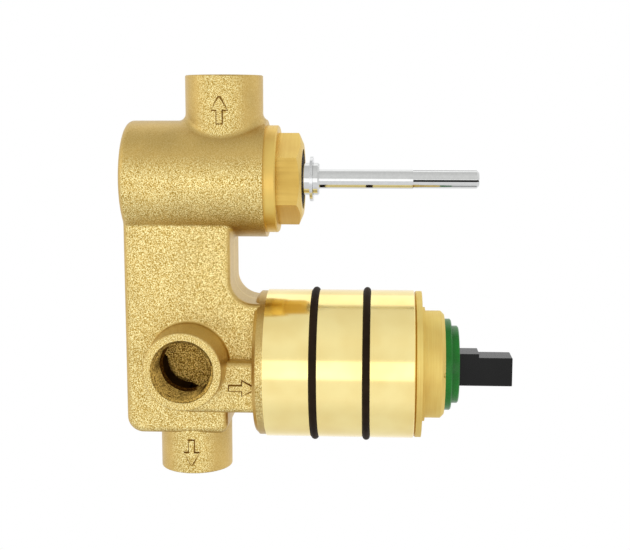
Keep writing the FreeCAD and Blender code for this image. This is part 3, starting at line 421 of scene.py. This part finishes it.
def brightMetal(name, spec):
    material, tree, metal = newMaterial(name)
    place = addNode(tree, "TexCoord").outputs["Object"]
    streaks = addNode(tree, "TexNoise", {
        "Vector": place, "Scale": perMetre(spec["streakMm"]), "Detail": 4.0, "Roughness": 0.6,
    })
    sheen = addNode(tree, "MapRange", {
        "Value": streaks.outputs["Fac"], "From Min": 0.3, "From Max": 0.7,
        "To Min": spec["roughness"] * spec["sheen"][0], "To Max": spec["roughness"] * spec["sheen"][1],
    })
    tone = addNode(tree, "ValToRGB", {"Fac": streaks.outputs["Fac"]}, stops=[
        (0.35, spec["low"]), (0.65, spec["high"]),
    ])
    tree.links.new(tone.outputs["Color"], metal.inputs["Base Color"])
    tree.links.new(sheen.outputs[0], metal.inputs["Roughness"])
    metal.inputs["Metallic"].default_value = 1.0
    return material


# Moulded pieces: colour, gloss and a faint spark-eroded skin from the mould.
# That skin is finer than 0.1 mm, drawn coarser here so that it shows
mouldings = {
    # injection moulded: deep even green with a soft gloss
    "greenAcetal": {
        "low": "087216", "high": "0e8420", "roughness": 0.28, "skinMm": 0.5, "depthMm": 0.01,
        "specular": 0.34,
    },
    # injection moulded: nearly black, with a grey sheen on top
    "blackNylon": {
        "low": "080808", "high": "0e0e0e", "roughness": 0.27, "skinMm": 0.45, "depthMm": 0.006,
        "specular": 0.2,
    },
    # pressed and cured: brown-black and matt
    "nitrileRubber": {
        "low": "231a11", "high": "2f2318", "roughness": 0.6, "skinMm": 0.6, "depthMm": 0.008,
        "specular": 0.06,
    },
    # fired and lapped: ivory white and smooth
    "aluminaCeramic": {
        "low": "ddd9cf", "high": "ece9e1", "roughness": 0.12, "skinMm": 1.2, "depthMm": 0.001,
        "specular": 0.5,
    },
}
# what all mouldings share
mouldSkin = {
    "cloudMm": 7.0,  # flow of the melt
    "sheen": 0.06,  # roughness either way
}


def moulded(name, spec):
    material, tree, skin = newMaterial(name)
    place = addNode(tree, "TexCoord").outputs["Object"]
    grit = addNode(tree, "TexNoise", {
        "Vector": place, "Scale": perMetre(spec["skinMm"]), "Detail": 3.0,
    })
    cloud = addNode(tree, "TexNoise", {
        "Vector": place, "Scale": perMetre(mouldSkin["cloudMm"]), "Detail": 2.0,
    })
    tone = addNode(tree, "ValToRGB", {"Fac": cloud.outputs["Fac"]}, stops=[
        (0.35, spec["low"]), (0.65, spec["high"]),
    ])
    sheen = addNode(tree, "MapRange", {
        "Value": grit.outputs["Fac"], "From Min": 0.3, "From Max": 0.7,
        "To Min": spec["roughness"] - mouldSkin["sheen"],
        "To Max": spec["roughness"] + mouldSkin["sheen"],
    })
    bump = addNode(tree, "Bump", {
        "Height": grit.outputs["Fac"], "Strength": 1.0, "Distance": spec["depthMm"] * mm,
    })
    tree.links.new(tone.outputs["Color"], skin.inputs["Base Color"])
    tree.links.new(sheen.outputs[0], skin.inputs["Roughness"])
    tree.links.new(bump.outputs["Normal"], skin.inputs["Normal"])
    skin.inputs["Specular IOR Level"].default_value = spec["specular"]
    return material


brass = {name: sandCast(name, spec) for name, spec in castings.items()}
brass |= {name: turnedBrass(name, spec) for name, spec in turnings.items()}
finishes = {
    "cast_brass": brass["sandCastBrass"],
    "turned_brass": brass["satinTurnedBrass"],
    "chrome_plate": brightMetal("chromePlate", brightMetals["chromePlate"]),
    "spring_steel": brightMetal("springSteel", brightMetals["springSteel"]),
    "green_plastic": moulded("greenAcetal", mouldings["greenAcetal"]),
    "black_plastic": moulded("blackNylon", mouldings["blackNylon"]),
    "seal_rubber": moulded("nitrileRubber", mouldings["nitrileRubber"]),
    "ceramic": moulded("aluminaCeramic", mouldings["aluminaCeramic"]),
}
for row in frame["record"]["subparts"]:
    target = nodes[row["node"]]
    target.data.materials.clear()
    target.data.materials.append(finishes[row["material_slot"]])
print("finishes assigned")

ports = [mount for mount in frame["record"]["mounts"] if mount["kind"] == "threaded_hole"]


# a copy of a CAD piece in its place, with a finish picked for each face
def dressCopy(name, node, body, materials, pick):
    piece = bpy.data.objects.new(name, nodes[node].data.copy())
    bpy.context.scene.collection.objects.link(piece)
    mesh = piece.data
    mesh.materials.clear()
    for material in materials:
        mesh.materials.append(material)
    for face in mesh.polygons:
        face.material_index = pick(face.center / mm, face.normal)
    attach(piece, body)
    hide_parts(node)
    return piece


# a new piece on the valve, from a finished bmesh
def addPiece(name, work, materials):
    bmesh.ops.recalc_face_normals(work, faces=work.faces)
    mesh = bpy.data.meshes.new(name)
    work.to_mesh(mesh)
    work.free()
    for material in materials:
        mesh.materials.append(material)
    piece = bpy.data.objects.new(name, mesh)
    bpy.context.scene.collection.objects.link(piece)
    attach(piece, "valve")


# Casting: sand-cast all over, its housing turned and polished, its ports and waterways painted dark inside as
# shade
casting = {
    "collarFront": 25.7,
    "housingFloor": 23.5,
    "cartridgeHeight": 37.0,
    "portRadius": 10.6,
    "portDepth": 27.2,
    "portFloor": 20.0,
    "shelfSide": 2.8,
    "collarEase": 0.01,
    "mouthRim": 0.2,
    "floorFacing": 0.9,
    "wayEase": 0.1,
    # from, to, radius
    "waterways": [
        ((-0.4, -9.8, 32.5), (41.0, -9.8, 32.5), 3.8), ((-0.4, 9.8, 32.5), (41.0, 9.8, 32.5), 3.8),
        ((2.3, 0.0, 46.0), (41.0, 0.0, 46.0), 3.8), ((0.5, 0.0, 41.2), (0.5, 0.0, 88.0), 4.2),
        ((-14.5, 0.0, 17.4), (-14.5, 0.0, 88.0), 4.0), ((-14.5, 0.0, 22.0), (0.0, 0.0, 22.0), 3.6),
        ((-19.0, 0.0, 100.8), (25.5, 0.0, 100.8), 15.1),
    ],
}


# how far down an axis a spot is, and how far off it
def alongAxis(spot, start, axis):
    away = spot - start
    deep = away.dot(axis)
    return deep, (away - axis * deep).length


# which of castFinishes a face gets
def castFinishAndShade(spot, normal):
    _, out = alongAxis(spot, Vector((0, 0, casting["cartridgeHeight"])), Vector((1, 0, 0)))
    if spot.x > casting["collarFront"] - casting["collarEase"] and out > casting["housingFloor"]:
        return 1
    for port in ports:
        axis = Vector(port["axis"])
        deep, off = alongAxis(spot, Vector(port["pos_m"]) / mm, -axis)
        if casting["mouthRim"] < deep < casting["portDepth"] and off < casting["portRadius"]:
            floor = deep > casting["portFloor"] and abs(normal.dot(axis)) > casting["floorFacing"]
            # port walls painted dark brown as shade; floors, and side-inlet walls past the shelf, get the
            # dull brown
            return 2 if floor or axis.y and spot.x > casting["shelfSide"] else 3
    # waterways painted dark brown as shade too
    ease = casting["wayEase"]
    for start, end, radius in casting["waterways"]:
        run = Vector(end) - Vector(start)
        deep, off = alongAxis(spot, Vector(start), run.normalized())
        if -ease < deep < run.length + ease and off < radius + ease:
            return 3
    return 0


castFinishes = [brass[name] for name in (
    "sandCastBrass", "polishedBrass", "dullWaterwayShadeBrass", "darkShadeBrass",
)]
dressCopy("castBody", "valve_body", "valve", castFinishes, castFinishAndShade)
print("casting dressed")

# Nut: turned matt all over, with the darker satin gold on the faces in the joint behind its flange
nut = {
    "jointFront": 76.5,
    "jointInner": 22.0,
    "height": 37.0,
}


def nutFinish(spot, normal):
    out = math.hypot(spot.y, spot.z - nut["height"])
    return int(spot.x < nut["jointFront"] and out > nut["jointInner"])


nutFinishes = [brass["mattTurnedBrass"], brass["satinTurnedBrass"]]
dressCopy("ringNut", "cartridge_nut", "valve", nutFinishes, nutFinish)
print("nut dressed")

# Bonnet: flange and ends turned bright; the hexagon's flats painted lit and shaded by which way they face,
# upper front and lower back bright, front and back a deeper drawn gold, the other pair satin, opposite flats
# alike
bonnet = {
    "flangeFront": 29.7,
    "sideFlat": 0.9,
    "endFacing": 0.1,
}


def bonnetFinishAndShade(spot, normal):
    if spot.x < bonnet["flangeFront"] or abs(normal.x) > bonnet["endFacing"]:
        return 0
    if abs(normal.y) > bonnet["sideFlat"]:
        return 2
    return int(normal.y * normal.z > 0)


bonnetFinishes = [brass[name] for name in ("brightTurnedBrass", "satinTurnedBrass", "drawnBarBrass")]
dressCopy("hexBonnet", "diverter_bonnet", "valve", bonnetFinishes, bonnetFinishAndShade)
print("bonnet dressed")

# Spindle: plating doesn't reach into the saw cuts, so they stay dark
saw = {
    "from": 75.0,
    "height": 100.8,
    "pit": "141210",
    "scale": "2a2622",
    "scaleMm": 0.6,
    "depthMm": 0.02,
    "roughness": 0.6,
    "specular": 0.2,
    "endFacing": 0.1,
    "skinFacing": 0.7,
}


def sawFinish(spot, normal):
    out = Vector((0, spot.y, spot.z - saw["height"])).normalized()
    inCut = abs(normal.x) < saw["endFacing"] and normal.dot(out) < saw["skinFacing"]
    return int(spot.x > saw["from"] and inCut)


# oxidised saw cut: a blotchy dark scale that hardly shines
def sawnScale(spec):
    material, tree, scale = newMaterial("oxidisedSawCut")
    place = addNode(tree, "TexCoord").outputs["Object"]
    blotch = addNode(tree, "TexNoise", {
        "Vector": place, "Scale": perMetre(spec["scaleMm"]), "Detail": 3.0,
    })
    tone = addNode(tree, "ValToRGB", {"Fac": blotch.outputs["Fac"]}, stops=[
        (0.35, spec["pit"]), (0.65, spec["scale"]),
    ])
    bump = addNode(tree, "Bump", {
        "Height": blotch.outputs["Fac"], "Strength": 1.0, "Distance": spec["depthMm"] * mm,
    })
    tree.links.new(tone.outputs["Color"], scale.inputs["Base Color"])
    tree.links.new(bump.outputs["Normal"], scale.inputs["Normal"])
    scale.inputs["Roughness"].default_value = spec["roughness"]
    scale.inputs["Specular IOR Level"].default_value = spec["specular"]
    return material


spindleFinishes = [finishes["chrome_plate"], sawnScale(saw)]
dressCopy("splitSpindle", "diverter_spindle", "spindle", spindleFinishes, sawFinish)
print("spindle dressed")

# Return spring: dressed in spring steel on its own copy of the mesh. In the valve its front end stays on the
# sleeve, and a pull on the spindle pushes its back end up to it
springFinishes = [finishes["spring_steel"]]
coilSpring = dressCopy(
    "coilSpring", "return_spring", "valve", springFinishes, lambda spot, normal: 0,
)
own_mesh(coilSpring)

# Pipe threads: half-inch parallel, 14 to the inch, cut into each port
pipeThread = {
    "pitch": 1.814,
    "root": 10.44,
    "crest": 9.35,
    "shell": 10.5,
    "depth": 12.9,
    "leadIn": 1.2,
    "around": 96,
    "perPitch": 8,
    "flank": 1.3,  # slope of the sides, and the flat at each root
    "flat": 0.15,
    "brightShare": 0.42,
}


def makeThread(name, mouth, spec):
    axis = Vector(mouth["axis"])
    side = axis.orthogonal().normalized()
    up = axis.cross(side)
    centre = Vector(mouth["pos_m"])
    rows = round(spec["depth"] / spec["pitch"] * spec["perPitch"])
    work = bmesh.new()

    def ringAt(deep, radiusAt):
        ring = []
        for i in range(spec["around"]):
            turn = 2 * math.pi * i / spec["around"]
            radial = side * math.cos(turn) + up * math.sin(turn)
            ring.append(work.verts.new(centre - axis * deep * mm + radial * radiusAt(turn) * mm))
        return ring

    def threadRadius(deep):
        def radiusAt(turn):
            phase = (deep / spec["pitch"] - turn / (2 * math.pi)) % 1
            height = min(1.0, max(0.0, abs(2 * phase - 1) * spec["flank"] - spec["flat"]))
            cut = spec["crest"] + (spec["root"] - spec["crest"]) * height
            return max(cut, spec["root"] - deep) if deep < spec["leadIn"] else cut

        return radiusAt

    rings = [ringAt(0, lambda turn: spec["shell"])]
    depths = [spec["depth"] * k / rows for k in range(rows + 1)]
    rings += [ringAt(deep, threadRadius(deep)) for deep in depths]
    rings.append(ringAt(spec["depth"], lambda turn: spec["shell"]))
    for k, ring in enumerate(rings):
        following = rings[(k + 1) % len(rings)]
        for i in range(spec["around"]):
            j = (i + 1) % spec["around"]
            work.faces.new((ring[i], ring[j], following[j], following[i]))
    rootShadeRadius = spec["crest"] + (spec["root"] - spec["crest"]) * spec["brightShare"]
    for face in work.faces:
        deep, off = alongAxis(face.calc_center_median() / mm, centre / mm, -axis)
        face.material_index = int(off > rootShadeRadius and deep > spec["leadIn"])  # roots painted dark brown as shade between the crests
    addPiece(name, work, [brass["cutThreadBrass"], brass["darkShadeBrass"]])


for port in ports:
    makeThread(port["name"] + "_thread", port, pipeThread)
print("threads cut")

# Core shelf: the sand core left one behind each inlet's thread, with a broken edge and the way in beside it
coreShelf = {
    # its edge, as millimetres along X and Z from the port's axis
    "edge": [
        (-8.2, 2.95), (-7.3, 1.7), (-6.8, 0.4), (-5.8, -1.9), (-5.0, -3.2), (-4.0, -4.6),
        (-1.9, -5.4), (0.4, -6.4), (1.9, -7.4), (3.25, -8.05),
    ],
    "radius": 8.68,
    "front": 15.0,
    "back": 16.2,
    "around": 40,
}


def makeShelf(name, mouth, spec):
    axis = Vector(mouth["axis"])
    centre = Vector(mouth["pos_m"])
    start, end = (math.atan2(*reversed(spec["edge"][i])) for i in (-1, 0))
    turns = [start + (end - start) * k / spec["around"] for k in range(1, spec["around"])]
    rim = [(spec["radius"] * math.cos(turn), spec["radius"] * math.sin(turn)) for turn in turns]
    outline = spec["edge"] + rim
    work = bmesh.new()
    front, back = (
        [work.verts.new(centre + (Vector((x, 0, z)) - axis * spec[side]) * mm) for x, z in outline]
        for side in ("front", "back")
    )
    work.faces.new(front)
    work.faces.new(back)
    for i in range(len(outline)):
        j = (i + 1) % len(outline)
        # the shelf's sides painted dark brown as shade
        work.faces.new((front[i], front[j], back[j], back[i])).material_index = 1
    addPiece(name, work, [brass["dullWaterwayShadeBrass"], brass["darkShadeBrass"]])


for port in ports:
    if port["axis"][1]:
        makeShelf(port["name"].replace("inlet", "core_shelf"), port, coreShelf)
print("core shelves cast")

# Flow arrows: plain raised marks from the pattern, where such castings say which way the water runs
flowArrow = {
    # along the arrow, half its width there, and the way its side leans out
    "rows": [(-4.2, 0.8, -1), (0.2, 0.8, -1), (0.21, 2.5, -1), (4.2, 0.1, 1)],
    "raise": 0.6,
    "sink": 0.1,
    "draft": 0.5,
    "across": 8,
}
arrowPlaces = {
    # bend: the radius of the round face under the arrow, or nought on a flat one
    "shower_arrow": {"centre": (11.0, 0.0, 124.0), "along": (0, 0, 1), "out": (0, -1, 0), "bend": 13.15},
    "spout_arrow": {"centre": (0.0, 0.0, 7.6), "along": (0, 0, -1), "out": (0, -1, 0), "bend": 12.4},
    "hot_arrow": {"centre": (18.2, -18.0, 31.8), "along": (1, 0, 0), "out": (0, -1, 0), "bend": 0.0},
    "cold_arrow": {"centre": (18.2, 18.0, 31.8), "along": (1, 0, 0), "out": (0, 1, 0), "bend": 0.0},
}


def makeArrow(name, place, spec):
    along = Vector(place["along"])
    out = Vector(place["out"])
    beside = out.cross(along)
    centre = Vector(place["centre"])
    work = bmesh.new()

    def pointAt(run, across, lift):
        if place["bend"]:
            turn = across / place["bend"]
            radial = out * math.cos(turn) + beside * math.sin(turn)
            return (centre + along * run + radial * (place["bend"] + lift)) * mm
        return (centre + along * run + beside * across + out * lift) * mm

    def layer(lift, grow):
        steps = [2 * j / spec["across"] - 1 for j in range(spec["across"] + 1)]
        return [[work.verts.new(pointAt(run + lean * grow, step * (half + grow), lift)) for step in steps]
                for run, half, lean in spec["rows"]]

    top = layer(spec["raise"], 0.0)
    base = layer(-spec["sink"], spec["draft"])
    last = spec["across"]
    for r in range(len(top) - 1):
        for j in range(last):
            for sheet in (top, base):
                work.faces.new((sheet[r][j], sheet[r][j + 1], sheet[r + 1][j + 1], sheet[r + 1][j]))
        for j in (0, last):  # the mark's sides painted dull brown as shade
            work.faces.new((top[r][j], top[r + 1][j], base[r + 1][j], base[r][j])).material_index = 1
    # and its ends painted the same shade
    for r in (0, len(top) - 1):
        for j in range(last):
            work.faces.new((top[r][j], top[r][j + 1], base[r][j + 1], base[r][j])).material_index = 1
    addPiece(name, work, [brass["sandCastBrass"], brass["dullWaterwayShadeBrass"]])


for name, place in arrowPlaces.items():
    makeArrow(name, place, flowArrow)
print("arrows raised")
